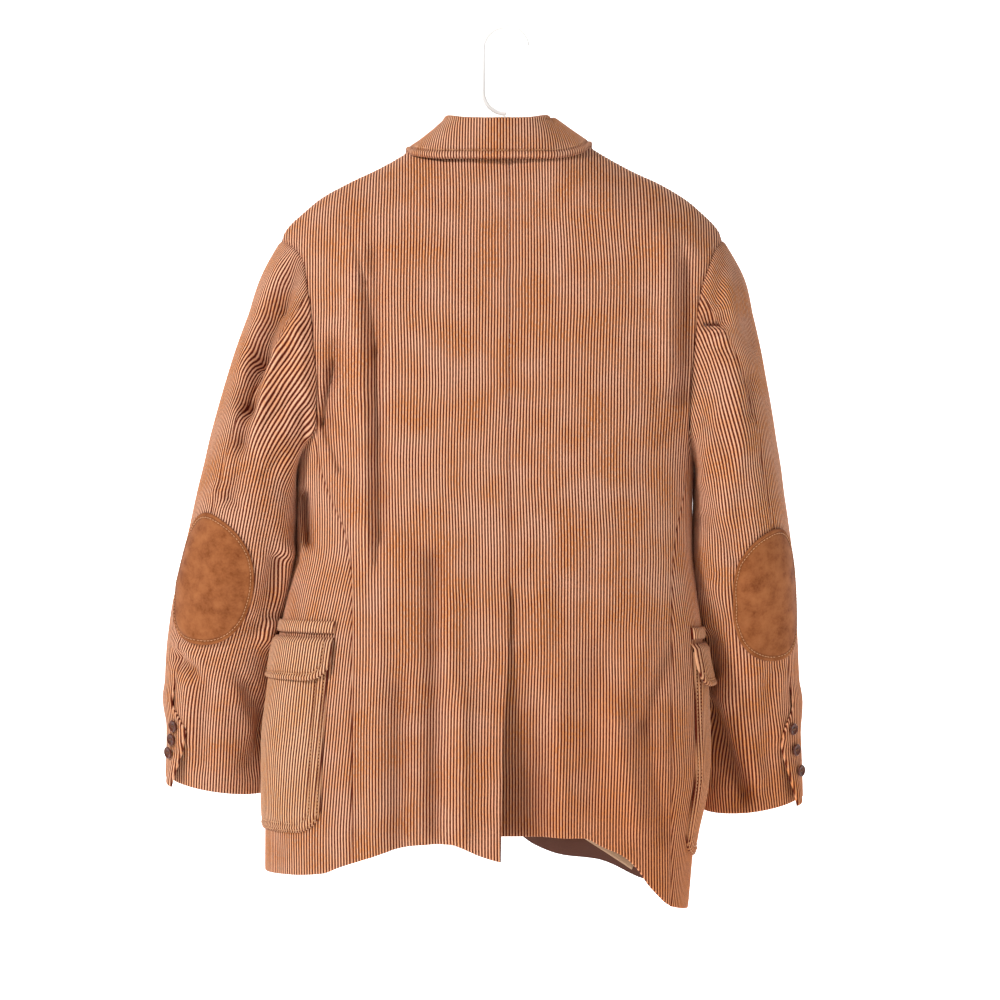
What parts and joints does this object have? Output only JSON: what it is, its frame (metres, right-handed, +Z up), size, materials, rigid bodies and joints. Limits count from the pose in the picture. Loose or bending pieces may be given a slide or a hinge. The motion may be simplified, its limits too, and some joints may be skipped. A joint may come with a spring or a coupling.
{
  "type": "corduroy jacket on a hanger",
  "caption": "Single-breasted corduroy sports jacket with turned-down collar, lapels, suede elbow patches, flapped patch pockets and a centre vent, hung on a plastic hanger.",
  "frame": {"origin": "inner top of the hanger's hook, where it rests on a rail", "axes": "+Z up, +Y out of the back of the jacket (the side that shows in the picture), +X to the wearer's left"},
  "size_m": [0.6997, 0.2085, 0.9535],
  "materials": {
    "corduroy": "tan cotton corduroy",
    "trim": "tan cotton corduroy of the pockets and flaps",
    "suede": "brown suede",
    "button": "shiny dark brown resin",
    "hanger": "white moulded plastic"
  },
  "bodies": {
    "root": {"back_left": "corduroy", "back_right": "corduroy", "collar": "corduroy", "cuff_button_left_1": "button", "cuff_button_left_2": "button", "cuff_button_left_3": "button", "cuff_button_right_1": "button", "cuff_button_right_2": "button", "cuff_button_right_3": "button", "elbow_patch_left": "suede", "elbow_patch_right": "suede", "flap_band_left": "trim", "flap_band_right": "trim", "front_button_1": "button", "front_button_2": "button", "front_left": "corduroy", "front_right": "corduroy", "hanger_arms": "hanger", "hanger_hook": "hanger", "hanger_neck": "hanger", "lapel_left": "corduroy", "lapel_right": "corduroy", "pocket_flap_left": "trim", "pocket_flap_right": "trim", "pocket_left": "trim", "pocket_right": "trim", "side_left": "corduroy", "side_right": "corduroy", "under_sleeve_left": "corduroy", "under_sleeve_right": "corduroy", "upper_sleeve_left": "corduroy", "upper_sleeve_right": "corduroy"}
  },
  "joints": []
}
